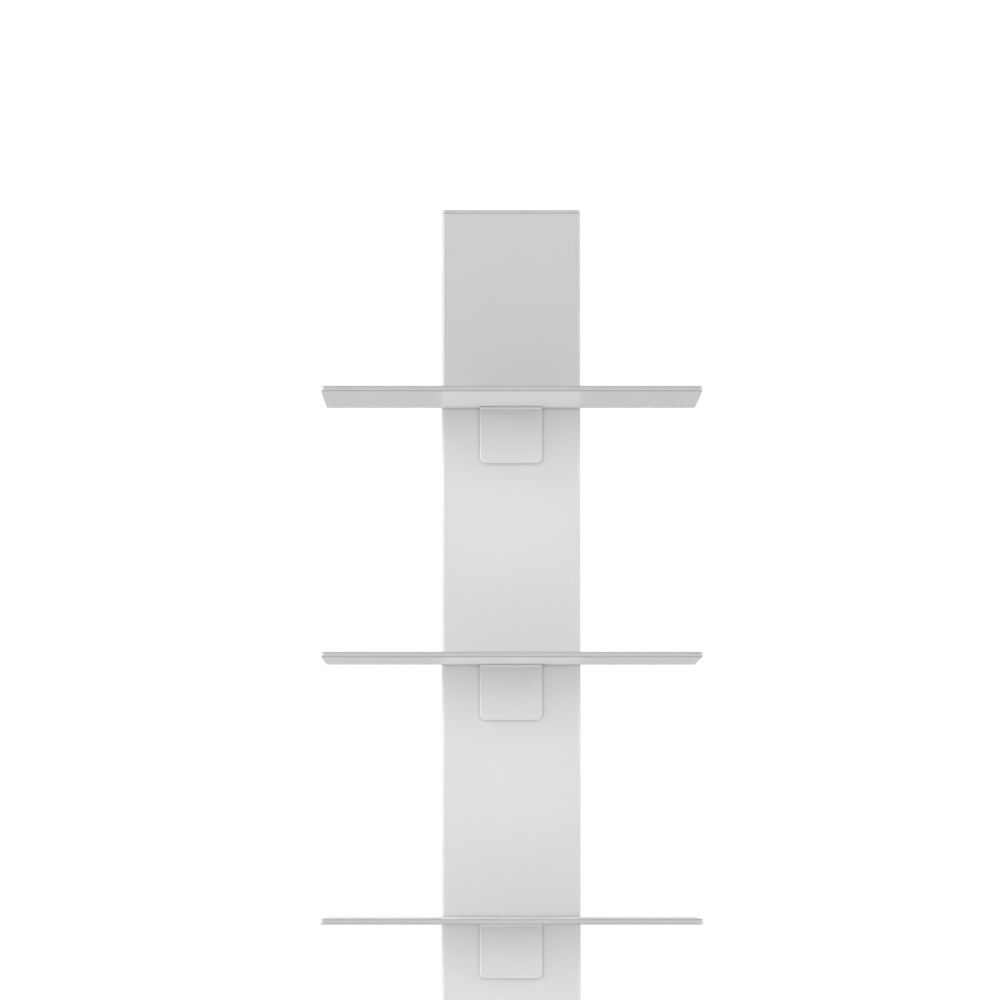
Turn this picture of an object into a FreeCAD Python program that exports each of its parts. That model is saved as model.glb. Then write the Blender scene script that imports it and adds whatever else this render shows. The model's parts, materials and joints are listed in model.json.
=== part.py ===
import FreeCAD, Part

import os
import re

import Sketcher
from FreeCAD import Vector

# A free-standing spine bookcase: a folded sheet-steel column on a heavy base plate carries a stack of thin
# steel shelves. Each shelf has a tongue that enters a slot in the column, and a bent bracket under its rear
# edge whose studs are bolted through the column wall to a doubler plate inside.
#
# Frame: X across the width, -Y to the front, +Z up, origin on the floor under the middle of the base plate.
# All lengths are in millimetres.

LEVELS = 6  # shelves above the base plate
COVER_ROWS = 5  # rows of screws down the rear cover, the highest of them through the cap's tabs

SIZES = {
    "shelf_width": (350, "width of every shelf and of the base plate"),
    "shelf_depth": (220, "front edge of a shelf to the column's front face"),
    "shelf_thick": (5, "plate thickness of a shelf"),
    "shelf_pitch": (244, "height from one level to the next"),
    "plate_corner": (4, "corner radius, seen from above, of shelves and base plate"),
    "plate_edge": (0.8, "chamfer of the rims of shelves and base plate"),
    "tongue_width": (90, "width of a shelf's tongue"),
    "tongue_thick": (3, "thickness of a shelf's tongue, half way up the plate"),
    "tongue_reach": (8, "length of the tongue behind the doubler plate"),
    "slot_gap": (0.25, "clearance round the tongue in its slots"),
    "spine_width": (131.5, "width of the column"),
    "spine_depth": (50, "front face to rear face of the column"),
    "sheet_thick": (2, "sheet thickness of the column"),
    "bend_inner": (1, "inner bend radius of the column"),
    "lip_width": (18, "width of the lips folded inwards at the rear"),
    "crown_height": (184, "top shelf's upper face to the top of the cap"),
    "cap_thick": (3, "thickness of the cap"),
    "cap_edge": (1, "chamfer of the cap's upper rim"),
    "seam_edge": (0.5, "chamfer of the rims that meet at the cap's seam"),
    "tab_width": (8, "width of the two tabs that hang from the cap"),
    "tab_height": (26, "length of these tabs"),
    "tab_thick": (3.2, "thickness of these tabs"),
    "cover_thick": (1.5, "sheet thickness of the rear cover"),
    "cover_inset": (4.5, "side of the column to the side of the rear cover"),
    "cover_gap": (1.5, "gap above and below the rear cover"),
    "cover_corner": (3, "corner radius of the rear cover"),
    "low_screw": (30, "foot of the column to the lowest screws of the cover"),
    "high_screw": (14, "top of the column down to the highest screws of the cover"),
    "bracket_width": (59, "width of a shelf bracket"),
    "bracket_drop": (53, "shelf's underside to the lower end of the bracket"),
    "bracket_leg": (25, "depth of the bracket's leg under the shelf"),
    "bracket_thick": (3, "plate thickness of a bracket"),
    "bracket_bend": (1.5, "inner bend radius of a bracket"),
    "bracket_corner": (6, "radius of the bracket's lower corners"),
    "leg_corner": (1.5, "radius of the corners of the bracket's leg"),
    "bracket_edge": (0.8, "chamfer of the bracket's outline, on both sides of the plate"),
    "doubler_width": (112, "width of a doubler plate"),
    "doubler_rise": (20, "shelf's underside up to the top of the doubler plate"),
    "doubler_drop": (58, "shelf's underside down to the foot of the doubler plate"),
    "doubler_thick": (4, "thickness of a doubler plate"),
    "doubler_corner": (5, "corner radius of a doubler plate"),
    "stud_radius": (3, "radius of the bracket's M6 weld studs"),
    "stud_spread": (36, "distance between the two studs of a bracket"),
    "stud_drop": (32, "shelf's underside down to the studs"),
    "stud_spare": (3, "thread that shows behind the nut"),
    "stud_gap": (0.25, "clearance round a stud in its holes"),
    "flange_radius": (7, "radius of the flange of an M6 flange nut"),
    "flange_thick": (1.4, "thickness of that flange"),
    "nut_flats": (10, "width across flats of an M6 flange nut"),
    "nut_thick": (6, "height of an M6 flange nut"),
    "thread_gap": (0.05, "clearance between a thread and its tapped hole"),
    "screw_radius": (2, "radius of the M4 screws"),
    "screw_play": (0.25, "clearance round an M4 screw in a plain hole"),
    "sunk_head": (4, "head radius of the countersunk M4 screws"),
    "screw_bite": (3.2, "length of thread in a shelf"),
    "screw_run_out": (0.4, "depth of a tapped hole past the end of its screw"),
    "leg_screw_spread": (40, "distance between the two shelf screws of a bracket"),
    "leg_screw_back": (14, "column's front face to the shelf screws"),
    "round_head": (3.8, "head radius of the button-head M4 screws"),
    "round_rise": (2.2, "head height of the button-head M4 screws"),
    "round_length": (8, "length of the button-head M4 screws under the head"),
    "socket_flats": (2.5, "width across flats of the hexagon sockets in M4 screws"),
    "socket_depth": (1.2, "depth of these sockets"),
    "weld_nut_side": (8, "side of the square M4 weld nuts"),
    "weld_nut_thick": (3.2, "height of the square M4 weld nuts"),
    "base_thick": (10, "thickness of the base plate"),
    "base_margin": (10, "base plate that shows behind the column"),
    "ground_gap": (10, "floor to the underside of the base plate"),
    "sill_thick": (8, "thickness of the plate welded into the foot of the column"),
    "sill_corner": (2.5, "corner radius of that plate, clear of the bends"),
    "bolt_radius": (4, "radius of the M8 bolts through the base plate"),
    "bolt_play": (0.25, "clearance round an M8 bolt in the base plate"),
    "bolt_head": (8, "head radius of the countersunk M8 bolts"),
    "bolt_length": (16, "length of the M8 bolts with their heads"),
    "bolt_side": (42, "middle of the column to the M8 bolts, across"),
    "bolt_span": (22, "distance between the M8 bolts, front to rear"),
    "bolt_socket": (5, "width across flats of the sockets in bolts and levelling studs"),
    "bolt_socket_depth": (3, "depth of these sockets"),
    "foot_inset": (28, "edges of the base plate to the middle of a levelling foot"),
    "foot_stud_radius": (4, "radius of a levelling foot's M8 stud"),
    "foot_stud_sink": (3.4, "top of a levelling stud below the top of the base plate"),
    "foot_button": (5.5, "radius of the button at the foot of a levelling stud"),
    "foot_play": (0.3, "clearance of that button and its neck in the foot"),
    "foot_radius": (15, "radius of a levelling foot"),
    "foot_neck": (8.5, "radius of a levelling foot at its top"),
    "foot_rim": (1.8, "height of the upright rim of a levelling foot"),
    "foot_height": (4.6, "height of a levelling foot above its sole"),
    "foot_floor": (0.9, "wall under the button of a levelling stud"),
    "foot_lip": (1.1, "wall over the button of a levelling stud"),
    "sole_radius": (14.2, "radius of a rubber sole"),
    "sole_thick": (1.8, "thickness of a rubber sole"),
}

# Places worked out from the driving dimensions.
BASE_TOP = "(ground_gap + base_thick)"
BASE_DEPTH = "(shelf_depth + spine_depth + base_margin)"
SPINE_FACE = "(shelf_depth - spine_depth - base_margin) / 2"
SPINE_HEIGHT = f"({LEVELS} * shelf_pitch + crown_height - cap_thick)"
FIRST_SHELF = "(shelf_pitch - shelf_thick)"
TONGUE_FOOT = "((shelf_thick - tongue_thick) / 2)"
BEND_OUTER = "(bend_inner + sheet_thick)"
SEAM_X = "(spine_width / 2 - lip_width / 2)"
SEAM_PITCH = f"(({SPINE_HEIGHT} - low_screw - high_screw) / {COVER_ROWS - 1})"
DOUBLER_FACE = "(sheet_thick + doubler_thick)"

NEAR = 1e-4  # lengths closer than this are the same length
X, Y, Z = Vector(1, 0, 0), Vector(0, 1, 0), Vector(0, 0, 1)

doc = FreeCAD.newDocument("spine_bookcase")
sizes = doc.addObject("Spreadsheet::Sheet", "sizes")
for row, (alias, (size, meaning)) in enumerate(SIZES.items(), start=1):
    sizes.set(f"A{row}", alias)
    sizes.set(f"B{row}", str(size))
    sizes.set(f"C{row}", meaning)
    sizes.setAlias(f"B{row}", alias)
doc.recompute()


def formula(text):
    """A formula of aliases as the expression that reads them from the sheet."""
    return re.sub(r"[a-z]+(?:_[a-z]+)+", r"sizes.\g<0>", text)


def value(text):
    return float(sizes.evalExpression(formula(text)))


# Bodies and their places


def new_body(label):
    body = doc.addObject("PartDesign::Body", label)
    body.Label = label
    return body


def place(piece, x="0", y="0", z="0"):
    for axis, text in (("x", x), ("y", y), ("z", z)):
        piece.setExpression(f"Placement.Base.{axis}", formula(text))


def on_spine(label):
    """A body whose origin is the foot of the column's front face, in the middle."""
    body = new_body(label)
    place(body, y=SPINE_FACE, z=BASE_TOP)
    return body


def on_level(label, level):
    """A body whose origin is where the underside of this level's shelf meets the column's front face."""
    body = new_body(label)
    place(body, y=SPINE_FACE, z=f"{BASE_TOP} + {level} * shelf_pitch - shelf_thick")
    return body


def origin_part(body, role):
    return next(part for part in body.Origin.OriginFeatures if part.Role == role)


# Sketches: "XY" looks down on the piece, "XZ" has its normal to the front, "YZ" has it to the right.


def new_sketch(body, plane, x="0", y="0", z="0"):
    """A sketch whose own origin stands at x, y, z of the body, parallel to one of its planes."""
    sketch = body.newObject("Sketcher::SketchObject", f"{body.Name}_sketch")
    sketch.AttachmentSupport = [(origin_part(body, f"{plane}_Plane"), "")]
    sketch.MapMode = "FlatFace"
    along = {"XY": (x, y, z), "XZ": (x, z, f"-({y})"), "YZ": (y, z, x)}[plane]
    for axis, text in zip("xyz", along):
        sketch.setExpression(f"AttachmentOffset.Base.{axis}", formula(text))
    return sketch


def bind(sketch, constraint, text):
    index = sketch.addConstraint(constraint)
    sketch.setExpression(f"Constraints[{index}]", formula(text))


def pin(sketch, geometry, point, x, y):
    """Holds a point of the sketch at x, y."""
    bind(sketch, Sketcher.Constraint("DistanceX", -1, 1, geometry, point, value(x)), x)
    bind(sketch, Sketcher.Constraint("DistanceY", -1, 1, geometry, point, value(y)), y)


def outline(sketch, corners):
    """A closed outline of straight sides through corners, each a pair of formulas."""
    first = sketch.GeometryCount
    spots = [Vector(value(x), value(y), 0) for x, y in corners]
    for start, end in zip(spots, spots[1:] + spots[:1]):
        sketch.addGeometry(Part.LineSegment(start, end), False)
    for number, (x, y) in enumerate(corners):
        before = first + (number - 1) % len(corners)
        sketch.addConstraint(Sketcher.Constraint("Coincident", before, 2, first + number, 1))
        pin(sketch, first + number, 1, x, y)
    return sketch


def rectangle(sketch, left, low, width, height):
    right, high = f"{left} + {width}", f"{low} + {height}"
    return outline(sketch, [(left, low), (right, low), (right, high), (left, high)])


def wide_rectangle(sketch, width, low, height):
    """A rectangle centred across the sketch."""
    return rectangle(sketch, f"-{width} / 2", low, width, height)


def circle(sketch, x, y, radius):
    middle = Vector(value(x), value(y), 0)
    index = sketch.addGeometry(Part.Circle(middle, Vector(0, 0, 1), value(radius)), False)
    pin(sketch, index, 3, x, y)
    bind(sketch, Sketcher.Constraint("Radius", index, value(radius)), radius)
    return sketch


def circle_pair(sketch, spread, y, radius):
    """Two circles, spread apart across the sketch."""
    circle(sketch, f"-{spread} / 2", y, radius)
    return circle(sketch, f"{spread} / 2", y, radius)


def hexagon(sketch, flats):
    corners = [(f"{flats} / sqrt(3) * cos({60 * k})", f"{flats} / sqrt(3) * sin({60 * k})") for k in range(6)]
    return outline(sketch, corners)


# Features


def set_length(feature, text):
    feature.setExpression("Length", formula(text))


def pad(body, sketch, length, backwards=False, both_ways=False):
    feature = body.newObject("PartDesign::Pad", f"{body.Name}_pad")
    feature.Profile = sketch
    set_length(feature, length)
    feature.Reversed = backwards
    if both_ways:
        feature.SideType = "Symmetric"
    doc.recompute()
    return feature


def checked_cut(body, feature, volume):
    """Makes sure that a cut has taken something away from the body."""
    doc.recompute()
    if not body.Shape.Volume < volume - NEAR:
        raise RuntimeError(f"{feature.Name} cuts nothing from {body.Label}")
    return feature


def pocket(body, sketch, length, backwards=False):
    volume = body.Shape.Volume
    feature = body.newObject("PartDesign::Pocket", f"{body.Name}_pocket")
    feature.Profile = sketch
    feature.Type = "Length"
    set_length(feature, length)
    feature.Reversed = backwards
    return checked_cut(body, feature, volume)


def sunk_hole(body, sketch, radius, head_radius):
    """Through holes with a right-angled countersink at the sketch, drilled towards +Z."""
    doc.recompute()
    volume = body.Shape.Volume
    feature = body.newObject("PartDesign::Hole", f"{body.Name}_hole")
    feature.Profile = sketch
    feature.DepthType = "ThroughAll"
    feature.Reversed = True
    feature.ThreadType = "None"
    feature.setExpression("Diameter", formula(f"2 * ({radius})"))
    feature.HoleCutType = "Countersink"
    feature.HoleCutCountersinkAngle = 90
    feature.setExpression("HoleCutDiameter", formula(f"2 * ({head_radius})"))
    return checked_cut(body, feature, volume)


def revolve(body, sketch):
    """Turns the sketch once round its own upright axis."""
    feature = body.newObject("PartDesign::Revolution", f"{body.Name}_revolution")
    feature.Profile = sketch
    feature.ReferenceAxis = (sketch, ["V_Axis"])
    feature.Angle = 360
    doc.recompute()
    return feature


def dress(body, kind, dimension, size, chosen):
    """Rounds or chamfers every edge of the body for which chosen(edge) is true."""
    tip = body.Tip
    names = [f"Edge{n}" for n, edge in enumerate(tip.Shape.Edges, start=1) if chosen(edge)]
    if not names:
        raise RuntimeError(f"{body.Label} has no edge to dress")
    feature = body.newObject(f"PartDesign::{kind}", f"{body.Name}_{kind.lower()}")
    feature.Base = (tip, names)
    feature.setExpression(dimension, formula(size))
    doc.recompute()
    return feature


def fillet(body, radius, chosen):
    return dress(body, "Fillet", "Radius", radius, chosen)


def chamfer(body, size, chosen):
    return dress(body, "Chamfer", "Size", size, chosen)


def repeat(body, spacing, count):
    """Copies the whole body upwards, count times in all."""
    feature = body.newObject("PartDesign::LinearPattern", f"{body.Name}_pattern")
    feature.TransformMode = "Whole shape"
    feature.Direction = (origin_part(body, "Z_Axis"), [""])
    feature.Mode = "Spacing"
    feature.setExpression("Offset", formula(spacing))
    feature.Occurrences = count
    body.Tip = feature
    doc.recompute()
    return feature


def repeat_cut(body, cut, spacing, count):
    """Copies one cut upwards, count times in all."""
    volume = body.Shape.Volume
    feature = body.newObject("PartDesign::LinearPattern", f"{body.Name}_pattern")
    feature.Originals = [cut]
    feature.Direction = (origin_part(body, "Z_Axis"), [""])
    feature.Mode = "Spacing"
    feature.setExpression("Offset", formula(spacing))
    feature.Occurrences = count
    body.Tip = feature
    return checked_cut(body, feature, volume)


def mirror(body, plane):
    """Adds the body's mirror image in one of its own planes."""
    feature = body.newObject("PartDesign::Mirrored", f"{body.Name}_mirror")
    feature.TransformMode = "Whole shape"
    feature.MirrorPlane = (origin_part(body, f"{plane}_Plane"), [""])
    body.Tip = feature
    doc.recompute()
    return feature


def same(one, other):
    return abs(one - other) < NEAR


def runs_along(edge, axis):
    if edge.Curve.TypeId != "Part::GeomLine":
        return False
    return same(abs(edge.tangentAt(edge.FirstParameter).dot(axis)), 1)


def lies_at(edge, axis, where):
    """True for an edge that lies in the plane across axis at where."""
    return all(same(vertex.Point.dot(axis), where) for vertex in edge.Vertexes)


def middle_of(edge):
    return edge.valueAt((edge.FirstParameter + edge.LastParameter) / 2)


# Shelves


def rounded_plate(body, width, front, depth, thick):
    """A plate with rounded corners and chamfered rims."""
    pad(body, wide_rectangle(new_sketch(body, "XY"), width, front, depth), thick)
    fillet(body, "plate_corner", lambda edge: runs_along(edge, Z))
    upper = value(thick)
    chamfer(body, "plate_edge", lambda edge: lies_at(edge, Z, 0) or lies_at(edge, Z, upper))


def make_shelf(level):
    """A cantilevered plate with a shouldered tongue at the rear and two tapped holes for its bracket."""
    shelf = on_level(f"shelf_{level}", level)
    rounded_plate(shelf, "shelf_width", "-shelf_depth", "shelf_depth", "shelf_thick")
    reach = f"({DOUBLER_FACE} + tongue_reach)"
    tongue = new_sketch(shelf, "XY", z=TONGUE_FOOT)
    wide_rectangle(tongue, "tongue_width", "-plate_edge", f"({reach} + plate_edge)")
    pad(shelf, tongue, "tongue_thick")
    end = value(reach)
    fillet(shelf, "plate_corner", lambda edge: runs_along(edge, Z) and lies_at(edge, Y, end))
    pocket(shelf, leg_holes(shelf, "screw_radius + thread_gap"), "screw_bite + screw_run_out", backwards=True)
    return shelf


def leg_holes(body, radius, z="0"):
    """The two holes of a bracket's leg, as circles on a sketch at height z."""
    return circle_pair(new_sketch(body, "XY", z=z), "leg_screw_spread", "-leg_screw_back", radius)


def make_bracket(level):
    """A plate bent to an L: the leg lies under the shelf and the other limb hangs down the column's face."""
    bracket = on_level(f"bracket_{level}", level)
    profile = outline(
        new_sketch(bracket, "YZ"),
        [
            ("0", "0"),
            ("0", "-bracket_drop"),
            ("-bracket_thick", "-bracket_drop"),
            ("-bracket_thick", "-bracket_thick"),
            ("-bracket_leg", "-bracket_thick"),
            ("-bracket_leg", "0"),
        ],
    )
    pad(bracket, profile, "bracket_width", both_ways=True)
    thick, leg, drop = value("bracket_thick"), value("bracket_leg"), value("bracket_drop")

    def outer_bend(edge):
        return runs_along(edge, X) and lies_at(edge, Y, 0) and lies_at(edge, Z, 0)

    def inner_bend(edge):
        return runs_along(edge, X) and lies_at(edge, Y, -thick) and lies_at(edge, Z, -thick)

    def limb_outline(edge):
        on_side = lies_at(edge, Y, -thick) or lies_at(edge, Y, 0)
        return on_side and middle_of(edge).z < -2 * thick

    fillet(bracket, "bracket_bend + bracket_thick", outer_bend)
    fillet(bracket, "bracket_bend", inner_bend)
    fillet(bracket, "bracket_corner", lambda edge: runs_along(edge, Y) and lies_at(edge, Z, -drop))
    fillet(bracket, "leg_corner", lambda edge: runs_along(edge, Z) and lies_at(edge, Y, -leg))
    chamfer(bracket, "bracket_edge", limb_outline)
    under = leg_holes(bracket, "screw_radius + screw_play", z="-bracket_thick")
    sunk_hole(bracket, under, "screw_radius + screw_play", "sunk_head")
    return bracket


def make_doubler(level):
    """The plate behind the column's front wall: it stiffens the slot and spreads the pull of the studs."""
    doubler = on_level(f"doubler_plate_{level}", level)
    sketch = new_sketch(doubler, "XZ", y="sheet_thick")
    wide_rectangle(sketch, "doubler_width", "-doubler_drop", "(doubler_drop + doubler_rise)")
    tongue_slot(sketch, "0")
    circle_pair(sketch, "stud_spread", "-stud_drop", "stud_radius + stud_gap")
    pad(doubler, sketch, "doubler_thick", backwards=True)
    half = value("doubler_width / 2")
    fillet(doubler, "doubler_corner", lambda edge: runs_along(edge, Y) and same(abs(middle_of(edge).x), half))
    return doubler


def tongue_slot(sketch, shelf_foot):
    """The opening for the tongue of a shelf whose underside is at height shelf_foot."""
    width, height = "(tongue_width + 2 * slot_gap)", "(tongue_thick + 2 * slot_gap)"
    return wide_rectangle(sketch, width, f"{shelf_foot} + {TONGUE_FOOT} - slot_gap", height)


# Fasteners: one body holds all of a kind, copied up the levels.


def up_the_levels(body):
    return repeat(body, "shelf_pitch", LEVELS)


def make_bracket_studs():
    """M6 studs welded to the rear of each bracket, with a chamfered end."""
    studs = on_spine("bracket_studs")
    length = f"({DOUBLER_FACE} + nut_thick + stud_spare)"
    half_section = outline(
        new_sketch(studs, "XY", x="stud_spread / 2", z=f"{FIRST_SHELF} - stud_drop"),
        [
            ("0", "0"),
            ("stud_radius", "0"),
            ("stud_radius", f"{length} - stud_radius / 4"),
            ("stud_radius * 3 / 4", length),
            ("0", length),
        ],
    )
    revolve(studs, half_section)
    mirror(studs, "YZ")
    up_the_levels(studs)


def make_flange_nuts():
    """M6 nuts, each with a flange, on the studs behind the doubler plates."""
    nuts = on_spine("flange_nuts")
    for thick in ("flange_thick", "nut_thick"):
        sketch = new_sketch(nuts, "XZ", x="stud_spread / 2", y=DOUBLER_FACE, z=f"{FIRST_SHELF} - stud_drop")
        if thick == "flange_thick":
            circle(sketch, "0", "0", "flange_radius")
        else:
            hexagon(sketch, "nut_flats")
        circle(sketch, "0", "0", "stud_radius + thread_gap")
        pad(nuts, sketch, thick, backwards=True)
    mirror(nuts, "YZ")
    up_the_levels(nuts)


def make_shelf_screws():
    """Countersunk M4 screws up through each bracket's leg into the shelf."""
    screws = on_spine("shelf_screws")
    head = "(sunk_head - screw_radius)"
    spot = {"x": "leg_screw_spread / 2", "y": "-leg_screw_back", "z": f"{FIRST_SHELF} - bracket_thick"}
    corners = [
        ("0", "0"),
        ("sunk_head", "0"),
        ("screw_radius", head),
        ("screw_radius", "bracket_thick + screw_bite"),
        ("0", "bracket_thick + screw_bite"),
    ]
    revolve(screws, outline(new_sketch(screws, "XZ", **spot), corners))
    pocket(screws, hexagon(new_sketch(screws, "XY", **spot), "socket_flats"), "socket_depth", backwards=True)
    mirror(screws, "YZ")
    up_the_levels(screws)


def make_cover_screws():
    """Button-head M4 screws through the rear cover into the weld nuts and the cap's tabs."""
    screws = on_spine("cover_screws")
    face = "(spine_depth + cover_thick)"
    sketch = new_sketch(screws, "XY", x=SEAM_X, y=face, z="low_screw")
    corners = [
        ("0", "-round_length"),
        ("screw_radius", "-round_length"),
        ("screw_radius", "0"),
        ("round_head", "0"),
        ("round_head", "round_rise / 3"),
        ("round_head * 2 / 3", "round_rise"),
        ("0", "round_rise"),
    ]
    revolve(screws, outline(sketch, corners))
    back = new_sketch(screws, "XZ", x=SEAM_X, y=f"{face} + round_rise", z="low_screw")
    pocket(screws, hexagon(back, "socket_flats"), "socket_depth", backwards=True)
    mirror(screws, "YZ")
    repeat(screws, SEAM_PITCH, COVER_ROWS)


def make_weld_nuts():
    """Square M4 nuts welded inside the rear lips; the highest row of screws has the cap's tabs instead."""
    nuts = on_spine("cover_weld_nuts")
    inside = "(spine_depth - sheet_thick)"
    sketch = new_sketch(nuts, "XZ", x=SEAM_X, y=inside, z="low_screw")
    wide_rectangle(sketch, "weld_nut_side", "-weld_nut_side / 2", "weld_nut_side")
    circle(sketch, "0", "0", "screw_radius + thread_gap")
    pad(nuts, sketch, "weld_nut_thick")
    mirror(nuts, "YZ")
    repeat(nuts, SEAM_PITCH, COVER_ROWS - 1)


# Column


def seam_hole(body, y, radius, depth):
    """The lowest pair of the cover's screw holes, cut forwards from y."""
    sketch = new_sketch(body, "XZ", y=y)
    circle_pair(sketch, f"(2 * {SEAM_X})", "low_screw", radius)
    return pocket(body, sketch, depth, backwards=True)


def make_spine_channel():
    """Sheet folded to a channel that is open at the rear between two lips, slotted for the shelves."""
    channel = on_spine("spine_channel")
    half, lip, wall, back = "spine_width / 2", "lip_width", "sheet_thick", "spine_depth"
    right_side = [
        (half, "0"),
        (half, back),
        (f"{half} - {lip}", back),
        (f"{half} - {lip}", f"{back} - {wall}"),
        (f"{half} - {wall}", f"{back} - {wall}"),
        (f"{half} - {wall}", wall),
    ]
    left_side = [(f"-({x})", y) for x, y in reversed(right_side)]
    pad(channel, outline(new_sketch(channel, "XY"), right_side + left_side), SPINE_HEIGHT)
    outside, inside = value(half), value(f"{half} - {wall}")
    rear, top, bend = value(back), value(SPINE_HEIGHT), value(BEND_OUTER)

    def outer_rim(edge):
        middle = middle_of(edge)
        on_face = same(middle.y, 0) or same(middle.y, rear) or same(abs(middle.x), outside)
        on_bend = edge.Curve.TypeId == "Part::GeomCircle" and same(edge.Curve.Radius, bend)
        return lies_at(edge, Z, top) and (on_face or on_bend)

    fillet(channel, BEND_OUTER, lambda edge: runs_along(edge, Z) and same(abs(middle_of(edge).x), outside))
    fillet(channel, "bend_inner", lambda edge: runs_along(edge, Z) and same(abs(middle_of(edge).x), inside))
    chamfer(channel, "seam_edge", outer_rim)
    slot = tongue_slot(new_sketch(channel, "XZ"), FIRST_SHELF)
    repeat_cut(channel, pocket(channel, slot, wall), "shelf_pitch", LEVELS)
    studs, height = new_sketch(channel, "XZ"), f"{FIRST_SHELF} - stud_drop"
    circle_pair(studs, "stud_spread", height, "stud_radius + stud_gap")
    repeat_cut(channel, pocket(channel, studs, wall), "shelf_pitch", LEVELS)
    seam = seam_hole(channel, back, "screw_radius + screw_play", wall)
    repeat_cut(channel, seam, SEAM_PITCH, COVER_ROWS)


def make_rear_cover():
    """A flat sheet screwed over the channel's open rear."""
    cover = on_spine("rear_cover")
    width, height = "(spine_width - 2 * cover_inset)", f"({SPINE_HEIGHT} - 2 * cover_gap)"
    sheet = wide_rectangle(new_sketch(cover, "XZ", y="spine_depth"), width, "cover_gap", height)
    pad(cover, sheet, "cover_thick", backwards=True)
    fillet(cover, "cover_corner", lambda edge: runs_along(edge, Y))
    seam = seam_hole(cover, "spine_depth + cover_thick", "screw_radius + screw_play", "cover_thick")
    repeat_cut(cover, seam, SEAM_PITCH, COVER_ROWS)


def make_top_cap():
    """The lid of the column, with two tabs inside the rear lips that the highest screws hold."""
    cap = on_spine("top_cap")
    sketch = new_sketch(cap, "XY", z=SPINE_HEIGHT)
    pad(cap, wide_rectangle(sketch, "spine_width", "0", "(spine_depth + cover_thick)"), "cap_thick")
    low, high = value(SPINE_HEIGHT), value(f"{SPINE_HEIGHT} + cap_thick")
    fillet(cap, BEND_OUTER, lambda edge: runs_along(edge, Z))
    chamfer(cap, "cap_edge", lambda edge: lies_at(edge, Z, high))
    chamfer(cap, "seam_edge", lambda edge: lies_at(edge, Z, low))
    for side in ("", "-"):
        tab = new_sketch(cap, "XY", y="spine_depth - sheet_thick - tab_thick", z=SPINE_HEIGHT)
        rectangle(tab, f"{side}{SEAM_X} - tab_width / 2", "0", "tab_width", "tab_thick")
        pad(cap, tab, "tab_height", backwards=True)
    holes = new_sketch(cap, "XZ", y="spine_depth - sheet_thick")
    circle_pair(holes, f"(2 * {SEAM_X})", f"{SPINE_HEIGHT} - high_screw", "screw_radius + thread_gap")
    pocket(cap, holes, "tab_thick", backwards=True)


# Base


def bolt_spots(sketch, y, radius):
    """The four bolt holes under the column, whose front face is at y."""
    for side in ("-", "+"):
        circle_pair(sketch, "(2 * bolt_side)", f"{y} + spine_depth / 2 {side} bolt_span / 2", radius)
    return sketch


def make_spine_sill():
    """The tapped plate welded into the foot of the column."""
    sill = on_spine("spine_sill")
    width, depth = "(spine_width - 2 * sheet_thick)", "(spine_depth - 2 * sheet_thick)"
    pad(sill, wide_rectangle(new_sketch(sill, "XY"), width, "sheet_thick", depth), "sill_thick")
    fillet(sill, "sill_corner", lambda edge: runs_along(edge, Z))
    tapped = bolt_spots(new_sketch(sill, "XY"), "0", "bolt_radius + thread_gap")
    pocket(sill, tapped, "sill_thick", backwards=True)


def foot_place(side, end):
    """X and Y of a levelling foot, for side and end each -1 or 1."""
    return f"{side} * (shelf_width / 2 - foot_inset)", f"{end} * ({BASE_DEPTH} / 2 - foot_inset)"


FEET = {
    "front_left": foot_place(-1, -1),
    "front_right": foot_place(1, -1),
    "rear_left": foot_place(-1, 1),
    "rear_right": foot_place(1, 1),
}


def make_base_plate():
    base = new_body("base_plate")
    place(base, z="ground_gap")
    rounded_plate(base, "shelf_width", f"-{BASE_DEPTH} / 2", BASE_DEPTH, "base_thick")
    bolts = bolt_spots(new_sketch(base, "XY"), SPINE_FACE, "bolt_radius + bolt_play")
    sunk_hole(base, bolts, "bolt_radius + bolt_play", "bolt_head")
    tapped = new_sketch(base, "XY")
    for x, y in FEET.values():
        circle(tapped, x, y, "foot_stud_radius")
    pocket(base, tapped, "base_thick", backwards=True)


def make_base_bolts():
    """Countersunk M8 bolts up through the base plate into the sill."""
    bolts = new_body("base_bolts")
    place(bolts, y=SPINE_FACE, z="ground_gap")
    row = "(spine_depth / 2 - bolt_span / 2)"
    corners = [
        ("0", "0"),
        ("bolt_head", "0"),
        ("bolt_radius", "bolt_head - bolt_radius"),
        ("bolt_radius", "bolt_length"),
        ("0", "bolt_length"),
    ]
    for y in (row, f"({row} + bolt_span)"):
        revolve(bolts, outline(new_sketch(bolts, "XZ", x="bolt_side", y=y), corners))
    for y in (row, f"({row} + bolt_span)"):
        socket = hexagon(new_sketch(bolts, "XY", x="bolt_side", y=y), "bolt_socket")
        pocket(bolts, socket, "bolt_socket_depth", backwards=True)
    mirror(bolts, "YZ")


# Levelling feet


def make_foot_shell(corner, x, y):
    """A nylon foot, hollow inside for the button of its stud."""
    shell = new_body(f"foot_shell_{corner}")
    place(shell, x, y, "sole_thick")
    cavity, mouth = "foot_button + foot_play", "foot_stud_radius + foot_play"
    half_section = outline(
        new_sketch(shell, "XZ"),
        [
            ("0", "0"),
            ("foot_radius", "0"),
            ("foot_radius", "foot_rim"),
            ("foot_neck", "foot_height"),
            (mouth, "foot_height"),
            (mouth, "foot_height - foot_lip"),
            (cavity, "foot_height - foot_lip"),
            (cavity, "foot_floor"),
            ("0", "foot_floor"),
        ],
    )
    revolve(shell, half_section)


def make_foot_sole(corner, x, y):
    """The rubber disc glued under a foot."""
    sole = doc.addObject("Part::Cylinder", f"foot_sole_{corner}")
    sole.Label = sole.Name
    sole.setExpression("Radius", formula("sole_radius"))
    sole.setExpression("Height", formula("sole_thick"))
    place(sole, x, y)


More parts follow.
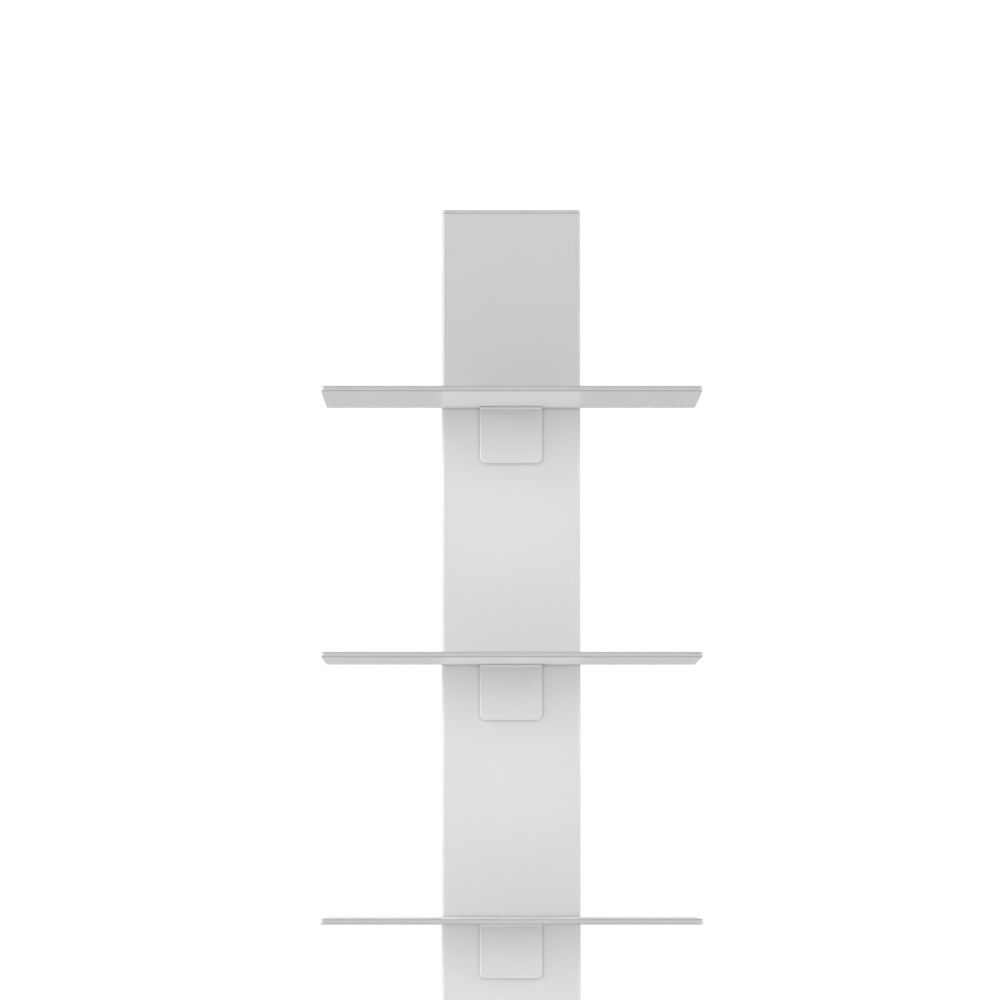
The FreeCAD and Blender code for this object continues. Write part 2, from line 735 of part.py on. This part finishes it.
def make_foot_stud(corner, x, y):
    """An M8 stud in the base plate's thread, turned from above, with a button held in its foot."""
    stud = new_body(f"foot_stud_{corner}")
    place(stud, x, y, "sole_thick + foot_floor")
    top = f"({BASE_TOP} - foot_stud_sink - sole_thick - foot_floor)"
    button = "(foot_height - foot_floor - foot_lip - foot_play)"
    half_section = outline(
        new_sketch(stud, "XZ"),
        [
            ("0", "0"),
            ("foot_button", "0"),
            ("foot_button", button),
            ("foot_stud_radius - thread_gap", button),
            ("foot_stud_radius - thread_gap", top),
            ("0", top),
        ],
    )
    revolve(stud, half_section)
    socket = hexagon(new_sketch(stud, "XY", z=top), "bolt_socket")
    pocket(stud, socket, "bolt_socket_depth")


# The whole bookcase

make_base_plate()
make_spine_sill()
make_base_bolts()
make_spine_channel()
make_top_cap()
make_rear_cover()
make_cover_screws()
make_weld_nuts()
for level in range(1, LEVELS + 1):
    make_shelf(level)
    make_bracket(level)
    make_doubler(level)
make_bracket_studs()
make_flange_nuts()
make_shelf_screws()
for corner, (x, y) in FEET.items():
    make_foot_shell(corner, x, y)
    make_foot_sole(corner, x, y)
    make_foot_stud(corner, x, y)
doc.recompute()

failed = [item.Name for item in doc.Objects if {"Invalid", "Error"} & set(item.State)]
if failed:
    raise RuntimeError(f"these objects failed: {failed}")
pieces = [item for item in doc.Objects if item.TypeId in ("PartDesign::Body", "Part::Cylinder")]
os.makedirs("parts", exist_ok=True)
for piece in pieces:
    if piece.Shape.isNull() or not piece.Shape.isValid():
        raise RuntimeError(f"{piece.Label} has no valid shape")
    print(f"{piece.Label}: {len(piece.Shape.Solids)} solids, {piece.Shape.Volume:.1f} mm3")
for piece in pieces:
    piece.Shape.exportStep(f"parts/{piece.Label}.step")
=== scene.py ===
import json
import math

import bmesh
import bpy
from mathutils import Matrix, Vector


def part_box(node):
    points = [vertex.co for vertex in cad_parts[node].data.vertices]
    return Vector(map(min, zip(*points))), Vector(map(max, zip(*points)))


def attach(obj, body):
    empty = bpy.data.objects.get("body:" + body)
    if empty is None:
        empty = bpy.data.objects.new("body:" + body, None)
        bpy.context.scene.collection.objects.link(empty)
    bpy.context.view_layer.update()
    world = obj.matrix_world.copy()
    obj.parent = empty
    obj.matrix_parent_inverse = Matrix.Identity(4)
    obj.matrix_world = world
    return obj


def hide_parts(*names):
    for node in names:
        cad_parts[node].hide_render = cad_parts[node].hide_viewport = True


# A spine bookcase in satin powder coat, dressed on its CAD frame. Metres, -Y to the front, +Z up.
# What shows of it is the CAD solids themselves, with softened edges and materials. Only the cover's screws and
# the levelling studs are replaced, by turned shapes with threads and sockets.

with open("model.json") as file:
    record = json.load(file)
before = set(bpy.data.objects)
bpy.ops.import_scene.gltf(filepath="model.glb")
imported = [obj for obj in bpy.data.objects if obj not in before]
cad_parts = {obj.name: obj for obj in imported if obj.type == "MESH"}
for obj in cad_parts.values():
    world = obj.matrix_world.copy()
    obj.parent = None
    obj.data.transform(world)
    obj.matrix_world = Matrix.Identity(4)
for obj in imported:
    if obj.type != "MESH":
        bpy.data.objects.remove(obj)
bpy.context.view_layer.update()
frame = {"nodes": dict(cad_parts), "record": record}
NODES = frame["nodes"]

MM = 0.001

# Node trees


class Tree:
    """Adds nodes to a material or world tree, from left to right."""

    def __init__(self, owner):
        owner.use_nodes = True
        self.tree = owner.node_tree
        self.tree.nodes.clear()

    def set_input(self, socket, given):
        if isinstance(given, bpy.types.NodeSocket):
            self.tree.links.new(given, socket)
        else:
            socket.default_value = given

    def node(self, kind, inputs=None, **settings):
        made = self.tree.nodes.new(kind)
        made.location.x = 200 * len(self.tree.nodes)
        for name, setting in settings.items():
            setattr(made, name, setting)
        for name, given in (inputs or {}).items():
            self.set_input(made.inputs[name], given)
        return made

    def math(self, operation, *given):
        made = self.node("ShaderNodeMath", operation=operation)
        for socket, number in zip(made.inputs, given):
            self.set_input(socket, number)
        return made.outputs[0]

    def place(self):
        """The point on the object, in metres."""
        return self.node("ShaderNodeTexCoord").outputs["Object"]

    def noise(self, where, size, detail=2.0, rough=0.5):
        """Noise whose lumps are about size metres across."""
        inputs = {"Vector": where, "Scale": 1 / size, "Detail": detail, "Roughness": rough}
        return self.node("ShaderNodeTexNoise", inputs).outputs["Fac"]

    def between(self, factor, low, high, start=0.0, end=1.0, how="LINEAR"):
        """low to high, as factor goes from start to end."""
        inputs = {"Value": factor, "From Min": start, "From Max": end, "To Min": low, "To Max": high}
        return self.node("ShaderNodeMapRange", inputs, interpolation_type=how).outputs["Result"]

    def ramp(self, factor, stops):
        """Greys at their places from 0 to 1, with straight ramps between and level ends."""
        made = self.node("ShaderNodeValToRGB", {"Fac": factor})
        elements = made.color_ramp.elements
        elements.remove(elements[1])
        elements[0].position, elements[0].color = stops[0][0], grey(stops[0][1])
        for place, level in stops[1:]:
            elements.new(place).color = grey(level)
        return made.outputs["Color"]

    def blend(self, factor, first, second, how="MIX"):
        """Two colours mixed; with how="MULTIPLY", the first shaded by the second."""
        made = self.node("ShaderNodeMix", data_type="RGBA", blend_type=how)
        for index, given in ((0, factor), (6, first), (7, second)):
            self.set_input(made.inputs[index], given)
        return made.outputs[2]

    def bump(self, height, depth, strength, under=None):
        """A normal that follows height, on top of the normal under it."""
        inputs = {"Height": height, "Distance": depth, "Strength": strength}
        if under:
            inputs["Normal"] = under
        return self.node("ShaderNodeBump", inputs).outputs["Normal"]

    def surface(self, **inputs):
        """The material's shader, with its inputs given by name."""
        named = {name.replace("_", " "): given for name, given in inputs.items()}
        shader = self.node("ShaderNodeBsdfPrincipled", named)
        self.node("ShaderNodeOutputMaterial", {"Surface": shader.outputs["BSDF"]})


def new_material(name):
    material = bpy.data.materials.new(name)
    return material, Tree(material)


def grey(level):
    return (level, level, level, 1)


# Materials

# Painted light and shade in the powder coat's tone, fitted to the photograph: with one tone everywhere, this
# light leaves the rims too bright and the undersides too dark, so the rims get painted shade and the undersides
# painted light.
COAT = 0.87  # on most faces
ABOVE = 0.83  # painted shade on a plate's upper face
BELOW = 0.97  # painted light on a plate's underside
RIM_ABOVE = 0.66  # painted shade on a plate's upper rims
RIM_BELOW = 0.52  # painted shade on a plate's lower rims
CAP_RIM = 0.86  # slight painted shade on the cap's upper rims
CAP_SEAM = 0.98  # painted light on the cap's lower rims, above the seam
SEAM = 0.53  # painted shade on the column's end, below the seam
LEG_BELOW = 0.72  # painted shade under a bracket's leg
LEG_RIM = 0.97  # painted light on the rim between this leg and its shelf
PIT = 0.62  # in the coat's tiny pits
PAINTED_SHADE_REACH = 4 * MM  # reach of the painted shade in inner corners
DEEPEST_PAINTED_SHADE = 0.80  # share of the tone that is left under the painted shade in the deepest of them
CLEAR_COAT, CLEAR_ROUGH = 0.3, 0.2  # weight and roughness of the glossier skin, which mirrors the column

# Tone against the slope of the surface, from -1 for an underside to 1 for a top: painted light and shade by
# slope.
EVEN = ((-1, COAT), (1, COAT))
ON_PLATE = (
    (-0.96, BELOW),
    (-0.86, RIM_BELOW),
    (-0.50, RIM_BELOW),
    (-0.25, COAT),
    (0.25, COAT),
    (0.50, RIM_ABOVE),
    (0.86, RIM_ABOVE),
    (0.96, ABOVE),
)
ON_CAP = (
    (-0.96, COAT),
    (-0.86, CAP_SEAM),
    (-0.50, CAP_SEAM),
    (-0.25, COAT),
    (0.25, COAT),
    (0.50, CAP_RIM),
    (0.86, CAP_RIM),
    (0.96, ABOVE),
)
ON_COLUMN = ((0.25, COAT), (0.50, SEAM), (0.86, SEAM), (0.96, COAT))
ON_BRACKET = (
    (-0.98, LEG_BELOW),
    (-0.80, COAT),
    (0.20, COAT),
    (0.40, LEG_RIM),
    (0.90, LEG_RIM),
    (0.98, COAT),
)


def coat_tone(tree, slopes, ahead, aside):
    """Painted light and shade: tone by slope, times ahead on faces to the front and rear and aside on the
    sides, and darkened in hollows by painted shade.
    """
    normal = tree.node("ShaderNodeNewGeometry").outputs["Normal"]
    normal = tree.node("ShaderNodeSeparateXYZ", {"Vector": normal}).outputs
    # Painted light and shade by slope, from the tables above.
    upwards = tree.between(normal["Z"], 0.0, 1.0, start=-1.0)
    tone = tree.ramp(upwards, [((slope + 1) / 2, level) for slope, level in slopes])
    # Painted light or shade on faces square to the front and rear (ahead) and to the sides (aside).
    for side, share in (("Y", ahead), ("X", aside)):
        squared = tree.math("MULTIPLY", normal[side], normal[side])  # 1 on a face square to that side
        tone = tree.blend(1.0, tone, tree.between(squared, 1.0, share), "MULTIPLY")
    # Painted shade in inner corners: darker where little is open round the surface.
    openness = tree.node("ShaderNodeAmbientOcclusion", {"Distance": PAINTED_SHADE_REACH}, samples=8).outputs["AO"]
    return tree.blend(1.0, tone, tree.between(openness, DEEPEST_PAINTED_SHADE, 1.0, start=0.40, end=0.90), "MULTIPLY")


def powder_coat(name, slopes, ahead=1.0, aside=1.0):
    """Satin powder coat with painted light and shade by slope, facing and hollows; faint drift of tone and
    gloss, tiny pits, and orange peel over a soft waviness.
    """
    material, tree = new_material(name)
    where = tree.place()
    tone = coat_tone(tree, slopes, ahead, aside)
    drift = tree.between(tree.noise(where, 150 * MM, detail=3), 0.985, 1.005)
    tone = tree.blend(1.0, tone, drift, "MULTIPLY")
    pits = tree.between(tree.noise(where, 0.9 * MM, detail=1), 0, 1, start=0.70, end=0.80)
    tone = tree.blend(tree.math("MULTIPLY", pits, 0.5), tone, grey(PIT))
    waves = tree.bump(tree.noise(where, 6 * MM, detail=1), 0.05 * MM, 0.35)
    peel = tree.bump(tree.noise(where, 1.3 * MM, detail=2, rough=0.55), 0.03 * MM, 0.55, under=waves)
    rough = tree.between(tree.noise(where, 25 * MM, detail=4), 0.40, 0.52)
    rough = tree.math("ADD", rough, tree.math("MULTIPLY", pits, 0.1))
    tree.surface(
        Base_Color=tone,
        Roughness=rough,
        Normal=peel,
        Coat_Weight=CLEAR_COAT,
        Coat_Roughness=CLEAR_ROUGH,
        Coat_Normal=waves,
    )
    return material


def zinc():
    """Bright zinc plate: fine drawn streaks, a cloudy passivated sheen and duller specks."""
    material, tree = new_material("zinc_plate")
    where = tree.place()
    cloud = tree.noise(where, 5 * MM, detail=4)
    tone = tree.blend(cloud, (0.56, 0.58, 0.62, 1), (0.70, 0.70, 0.69, 1))
    speck = tree.between(tree.noise(where, 0.6 * MM, detail=2), 0, 1, start=0.62, end=0.72)
    tone = tree.blend(tree.math("MULTIPLY", speck, 0.4), tone, grey(0.38))
    fine = tree.bump(tree.noise(where, 0.35 * MM, detail=3), 0.01 * MM, 0.4)
    rough = tree.between(tree.noise(where, 2 * MM, detail=3), 0.28, 0.42)
    tree.surface(Base_Color=tone, Metallic=1.0, Roughness=rough, Normal=fine)
    return material


def nylon():
    """Black moulded nylon with a spark-eroded texture."""
    material, tree = new_material("black_nylon")
    where = tree.place()
    tone = tree.blend(tree.noise(where, 4 * MM, detail=3), grey(0.022), grey(0.034))
    grain = tree.bump(tree.noise(where, 0.4 * MM, detail=3, rough=0.7), 0.03 * MM, 0.6)
    rough = tree.between(tree.noise(where, 1.5 * MM), 0.42, 0.58)
    tree.surface(Base_Color=tone, Roughness=rough, Normal=grain)
    return material


def rubber():
    """Matt black rubber, with dusty patches."""
    material, tree = new_material("black_rubber")
    where = tree.place()
    dust = tree.between(tree.noise(where, 1.2 * MM, detail=4, rough=0.7), 0, 1, start=0.5, end=0.75)
    tone = tree.blend(dust, grey(0.014), grey(0.05))
    grain = tree.bump(tree.noise(where, 0.25 * MM, detail=2), 0.02 * MM, 0.5)
    tree.surface(Base_Color=tone, Roughness=tree.between(dust, 0.68, 0.85), Normal=grain)
    return material


def floor_paint():
    material, tree = new_material("floor_paint")
    where = tree.place()
    tone = tree.blend(tree.noise(where, 0.5, detail=4), grey(0.84), grey(0.86))
    grain = tree.bump(tree.noise(where, 4 * MM, detail=2), 0.1 * MM, 0.2)
    tree.surface(Base_Color=tone, Roughness=0.6, Normal=grain)
    return material


ZINC = zinc()
FINISHES = {"zinc_plated_steel": ZINC, "nylon": nylon(), "rubber": rubber()}
# Lit and shaded copies of one powder coat: each has its own painted light and shade by slope, and ahead and
# aside paint light or shade on faces to the front, rear and sides.
COATS = {  # by the start of a node's name
    "shelf_": powder_coat("powder_coat_painted_shade_on_plate", ON_PLATE, ahead=0.87, aside=1.08),
    "bracket_": powder_coat("powder_coat_painted_shade_on_bracket", ON_BRACKET, ahead=1.03, aside=1.14),
    "top_cap": powder_coat("powder_coat_painted_shade_on_cap", ON_CAP, ahead=0.93),
    "spine_channel": powder_coat("powder_coat_painted_shade_on_column", ON_COLUMN, aside=0.85),
    "": powder_coat("powder_coat_painted_shade_on_sheet", EVEN, aside=0.85),
}
COATS["base_plate"] = COATS["shelf_"]


def coat_of(name):
    return COATS[max((start for start in COATS if name.startswith(start)), key=len)]


def dress(node, material):
    node.data.materials.clear()
    node.data.materials.append(material)


# Modifiers on the CAD nodes

BEVEL_WIDTH = 0.35 * MM  # the coat and the cutting of the sheet leave no sharp edge
FINE_BEVEL = 0.12 * MM  # on small hardware
BEVEL_SEGMENTS = 3
SHARP = math.radians(25)  # an edge that bends by more than this is rounded, or shaded as an edge
WELD_DISTANCE = 0.002 * MM
FLAT = math.radians(0.5)  # facets that lie within this of each other are merged


def soften(node, width):
    """Merges the flat facets of a CAD node and rounds its sharp edges."""
    weld = node.modifiers.new("weld", "WELD")
    weld.merge_threshold = WELD_DISTANCE
    clean = node.modifiers.new("clean", "DECIMATE")
    clean.decimate_type = "DISSOLVE"
    clean.angle_limit = FLAT
    bevel = node.modifiers.new("bevel", "BEVEL")
    bevel.width = width
    bevel.segments = BEVEL_SEGMENTS
    bevel.limit_method = "ANGLE"
    bevel.angle_limit = SHARP
    bevel.harden_normals = True


for subpart in frame["record"]["subparts"]:
    name, slot = subpart["node"], subpart["material_slot"]
    coated = slot == "powder_coat"
    dress(NODES[name], coat_of(name) if coated else FINISHES[slot])
    soften(NODES[name], BEVEL_WIDTH if coated else FINE_BEVEL)


# Turned hardware, built up along Z from rings of points

SIDES = 36  # of a ring; a multiple of 6, so that a hexagon keeps its corners
# Place along the pitch, and 0 at the root or 1 at the crest:
THREAD = ((0.00, 0), (0.12, 0), (0.48, 1), (0.64, 1))
THREAD_DEPTH = 0.61  # of the pitch
MOUTH, MOUTH_DEPTH, SOCKET_TIP = 0.62, 0.04, 0.15  # of a socket, as shares of its width across flats


def round_ring(radius):
    return [radius] * SIDES


def hexagon_ring(flats):
    """Distances from the middle to a hexagon, with a corner on the first of them."""
    turns = [(360 * side / SIDES) % 60 - 30 for side in range(SIDES)]
    return [flats / 2 / math.cos(math.radians(turn)) for turn in turns]


def add_ring(mesh, radii, heights):
    """A ring of points round Z, each at its own distance and height."""
    points = []
    for side, (radius, height) in enumerate(zip(radii, heights)):
        turn = 2 * math.pi * side / SIDES
        points.append(mesh.verts.new((radius * math.cos(turn), radius * math.sin(turn), height)))
    return points


def join_rings(mesh, first, second):
    for side in range(SIDES):
        after = (side + 1) % SIDES
        mesh.faces.new((first[side], first[after], second[after], second[side]))


def close_ring(mesh, ring, height):
    """A cone from the ring to a point on the axis."""
    tip = mesh.verts.new((0, 0, height))
    for side in range(SIDES):
        mesh.faces.new((ring[side], ring[(side + 1) % SIDES], tip))


def turned(mesh, rings):
    """Joins level rings, each (radii, height), and returns the first and last of them."""
    made = [add_ring(mesh, radii, [height] * SIDES) for radii, height in rings]
    for first, second in zip(made, made[1:]):
        join_rings(mesh, first, second)
    return made[0], made[-1]


def threaded(mesh, radius, pitch, low, high):
    """A helical thread that fades out into level rings at low and high, and returns these."""
    root = radius - THREAD_DEPTH * pitch
    rows = []
    for turn in range(-1, math.ceil((high - low) / pitch) + 1):
        for share, crest in THREAD:
            heights = [low + (turn + share + side / SIDES) * pitch for side in range(SIDES)]
            heights = [min(max(height, low), high) for height in heights]
            fade = [min(1.0, (height - low) / pitch, (high - height) / pitch) for height in heights]
            rise = crest * (radius - root)
            rows.append(add_ring(mesh, [root + rise * part for part in fade], heights))
    for row, (first, second) in enumerate(zip(rows, rows[1:])):
        for side in range(SIDES - 1):
            mesh.faces.new((first[side], first[side + 1], second[side + 1], second[side]))
        if row + len(THREAD) + 1 < len(rows):  # the last side goes on to the first of the next turn
            ends = rows[row + len(THREAD)][0], rows[row + len(THREAD) + 1][0]
            mesh.faces.new((first[-1], ends[0], ends[1], second[-1]))
    return turned(mesh, [(round_ring(root), low)])[0], turned(mesh, [(round_ring(root), high)])[0]


def add_socket(mesh, outer, flats, top, depth):
    """A hexagon socket with a countersunk mouth, inside the ring outer at the top."""
    mouth = add_ring(mesh, round_ring(flats * MOUTH), [top] * SIDES)
    join_rings(mesh, outer, mouth)
    walls = [(hexagon_ring(flats), top - MOUTH_DEPTH * flats), (hexagon_ring(flats), top - depth)]
    upper, lower = turned(mesh, walls)
    join_rings(mesh, mouth, upper)
    close_ring(mesh, lower, top - depth - SOCKET_TIP * flats)


def hardware(name, build, places, body, replaced):
    """One piece that holds what build makes, at each of its places, instead of the CAD node."""
    mesh = bmesh.new()
    for place in places:
        before = len(mesh.verts)
        build(mesh)
        mesh.verts.ensure_lookup_table()
        bmesh.ops.transform(mesh, matrix=place, verts=mesh.verts[before:])
    bmesh.ops.remove_doubles(mesh, verts=mesh.verts, dist=WELD_DISTANCE)
    bmesh.ops.recalc_face_normals(mesh, faces=mesh.faces)
    data = bpy.data.meshes.new(name)
    mesh.to_mesh(data)
    mesh.free()
    data.shade_smooth()
    data.set_sharp_from_angle(angle=SHARP)
    made = bpy.data.objects.new(name, data)
    bpy.context.scene.collection.objects.link(made)
    dress(made, ZINC)
    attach(made, body)
    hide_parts(replaced)


SCREW_ROWS = 5
HEAD_RADIUS, HEAD_RISE, SHANK = 3.8 * MM, 2.2 * MM, 8 * MM
M4_RADIUS, M4_PITCH, M4_TIP = 2 * MM, 0.7 * MM, 1.2 * MM
M4_KEY, M4_KEY_DEPTH = 2.5 * MM, 1.2 * MM


def domed_screw(mesh):
    """A button-head M4 screw, its head above the origin."""
    flat, rim, edge = 1.75 * MM, 0.3 * MM, 0.1 * MM
    low, high = threaded(mesh, M4_RADIUS, M4_PITCH, -SHANK + 0.4 * MM, -0.2 * MM)
    tip = turned(mesh, [(round_ring(M4_TIP), -SHANK)])[0]
    close_ring(mesh, tip, -SHANK)
    join_rings(mesh, tip, low)
    rings = [(round_ring(HEAD_RADIUS - edge), 0.0)]
    for degrees in range(0, 91, 15):
        angle = math.radians(degrees)
        reach = flat + (HEAD_RADIUS - flat) * math.cos(angle)
        rings.append((round_ring(reach), rim + (HEAD_RISE - rim) * math.sin(angle)))
    under, top = turned(mesh, rings)
    join_rings(mesh, high, under)
    add_socket(mesh, top, M4_KEY, HEAD_RISE, M4_KEY_DEPTH)


def cover_screws():
    """The rear cover's screws in two columns, their heads on its face."""
    low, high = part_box("cover_screws")
    face, middle = high[1] - HEAD_RISE, high[0] - HEAD_RADIUS
    lowest, highest = low[2] + HEAD_RADIUS, high[2] - HEAD_RADIUS
    step = (highest - lowest) / (SCREW_ROWS - 1)
    upright = Matrix.Rotation(math.radians(-90), 4, "X")
    places = [
        Matrix.Translation((side * middle, face, lowest + row * step)) @ upright
        for side in (-1, 1)
        for row in range(SCREW_ROWS)
    ]
    hardware("domed_cover_screws", domed_screw, places, "bookcase", "cover_screws")


BUTTON_RADIUS, BUTTON_HEIGHT = 5.5 * MM, 2.3 * MM
M8_RADIUS, M8_PITCH, M8_CROWN = 3.95 * MM, 1.25 * MM, 3.1 * MM
M8_KEY, M8_KEY_DEPTH = 5 * MM, 3 * MM


def levelling_stud(corner):
    """An M8 stud on a button, with a hexagon socket in its top."""
    low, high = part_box(f"foot_stud_{corner}")
    top = high[2] - low[2]
    edge = 0.3 * MM

    def build(mesh):
        rings = [
            (round_ring(BUTTON_RADIUS - edge), 0.0),
            (round_ring(BUTTON_RADIUS), edge),
            (round_ring(BUTTON_RADIUS), BUTTON_HEIGHT - edge),
            (round_ring(BUTTON_RADIUS - edge), BUTTON_HEIGHT),
        ]
        foot, shoulder = turned(mesh, rings)
        close_ring(mesh, foot, 0.0)
        start, end = threaded(mesh, M8_RADIUS, M8_PITCH, BUTTON_HEIGHT, top - edge)
        join_rings(mesh, shoulder, start)
        crown = turned(mesh, [(round_ring(M8_CROWN), top)])[0]
        join_rings(mesh, end, crown)
        add_socket(mesh, crown, M8_KEY, top, M8_KEY_DEPTH)

    spot = Matrix.Translation(((low[0] + high[0]) / 2, (low[1] + high[1]) / 2, low[2]))
    hardware(f"threaded_stud_{corner}", build, [spot], f"stud_{corner}", f"foot_stud_{corner}")


cover_screws()
for corner in ("front_left", "front_right", "rear_left", "rear_right"):
    levelling_stud(corner)


# Stage

FLOOR_RADIUS, FLOOR_SIDES = 9, 96
HAZE_HEIGHT = 1 * MM
HAZE_START, HAZE_END = 1.2, 8.0  # distances from the bookcase's middle
BACKDROP_RADIUS = 40
GLOW = 1.05  # just past white


def set_stage(name, material):
    """Names the mesh just added and gives it its material."""
    made = bpy.context.object
    made.name = name
    dress(made, material)
    return made


def show_to_camera_only(piece):
    """Keeps the piece out of the light, so that it changes nothing on the bookcase."""
    piece.visible_diffuse = piece.visible_glossy = piece.visible_shadow = False
    piece.visible_transmission = piece.visible_volume_scatter = False


def white_glow(tree):
    return tree.node("ShaderNodeEmission", {"Color": grey(1.0), "Strength": GLOW}).outputs["Emission"]


def backdrop_white():
    material, tree = new_material("backdrop_white")
    tree.node("ShaderNodeOutputMaterial", {"Surface": white_glow(tree)})
    return material


def haze():
    """Clear round the bookcase, and as white as the backdrop towards the floor's edge."""
    material, tree = new_material("haze")
    away = tree.node("ShaderNodeVectorMath", {0: tree.place()}, operation="LENGTH").outputs["Value"]
    white = tree.between(away, 0.0, 1.0, start=HAZE_START, end=HAZE_END, how="SMOOTHERSTEP")
    clear = tree.node("ShaderNodeBsdfTransparent").outputs["BSDF"]
    mixed = tree.node("ShaderNodeMixShader", {0: white, 1: clear, 2: white_glow(tree)})
    tree.node("ShaderNodeOutputMaterial", {"Surface": mixed.outputs["Shader"]})
    return material


def add_disc(height):
    bpy.ops.mesh.primitive_circle_add(
        vertices=FLOOR_SIDES, radius=FLOOR_RADIUS, fill_type="NGON", location=(0, 0, height)
    )


add_disc(0)
set_stage("floor", floor_paint())
add_disc(HAZE_HEIGHT)
show_to_camera_only(set_stage("haze", haze()))
bpy.ops.mesh.primitive_uv_sphere_add(segments=48, ring_count=24, radius=BACKDROP_RADIUS)
show_to_camera_only(set_stage("backdrop", backdrop_white()))

# Light: a dim studio with soft boxes. Each is (turn from the front, height, half width, half height, strength),
# the turn towards +X, and all but the strength in degrees.
SOFT_BOXES = [
    (-80, 18, 20, 8, 6.8),
    (80, 18, 20, 8, 5.2),
    (-80, 4, 20, 6, 1.7),
    (-40, 4, 20, 6, 1.7),
    (40, 4, 20, 6, 2.0),
    (-125, 42, 20, 12, 1.6),
    (180, 42, 30, 12, 3.8),
]


def soft_box(tree, sky, turn, height, half_width, half_height, strength):
    """A soft bright patch of the surround, as strength by direction."""
    x, y = math.sin(math.radians(turn)), -math.cos(math.radians(turn))

    def times(first, second):
        return tree.math("MULTIPLY", first, second)

    along = tree.math("ADD", times(sky["X"], x), times(sky["Y"], y))
    across = tree.math("SUBTRACT", times(sky["Y"], x), times(sky["X"], y))
    sideways = tree.math("DIVIDE", tree.math("ARCTAN2", across, along), math.radians(half_width))
    rise = tree.math("SUBTRACT", tree.math("ARCSINE", sky["Z"]), math.radians(height))
    upwards = tree.math("DIVIDE", rise, math.radians(half_height))
    square = tree.math("ADD", times(sideways, sideways), times(upwards, upwards))
    return times(tree.math("EXPONENT", times(square, -0.5)), strength)


def studio():
    """Lights the scene by the soft boxes in its surround."""
    world = bpy.data.worlds.new("studio")
    bpy.context.scene.world = world
    tree = Tree(world)
    direction = tree.node("ShaderNodeTexCoord").outputs["Generated"]
    sky = tree.node("ShaderNodeSeparateXYZ", {"Vector": direction}).outputs
    total = 0.0
    for box in SOFT_BOXES:
        total = tree.math("ADD", soft_box(tree, sky, *box), total)
    light = tree.node("ShaderNodeBackground", {"Color": grey(1.0), "Strength": total})
    tree.node("ShaderNodeOutputWorld", {"Surface": light.outputs["Background"]})


studio()


# Camera, fitted to the photograph's edges

LENS, SENSOR = 236.16, 36  # in millimetres
EYE = (-0.01688, -6.140, 1.0443)
TILT, PAN = 3.194, -0.059  # in degrees, positive up and to the left
FARTHEST = 200


def camera():
    """In front of the bookcase and a little above its middle, tilted up to hold the top of the column."""
    data = bpy.data.cameras.new("camera")
    data.lens = LENS
    data.sensor_width = SENSOR
    data.clip_end = FARTHEST
    made = bpy.data.objects.new("camera", data)
    made.location = EYE
    made.rotation_euler = (math.radians(90 + TILT), 0, math.radians(PAN))
    bpy.context.scene.collection.objects.link(made)
    bpy.context.scene.camera = made


camera()
bpy.context.scene.view_settings.view_transform = "Standard"
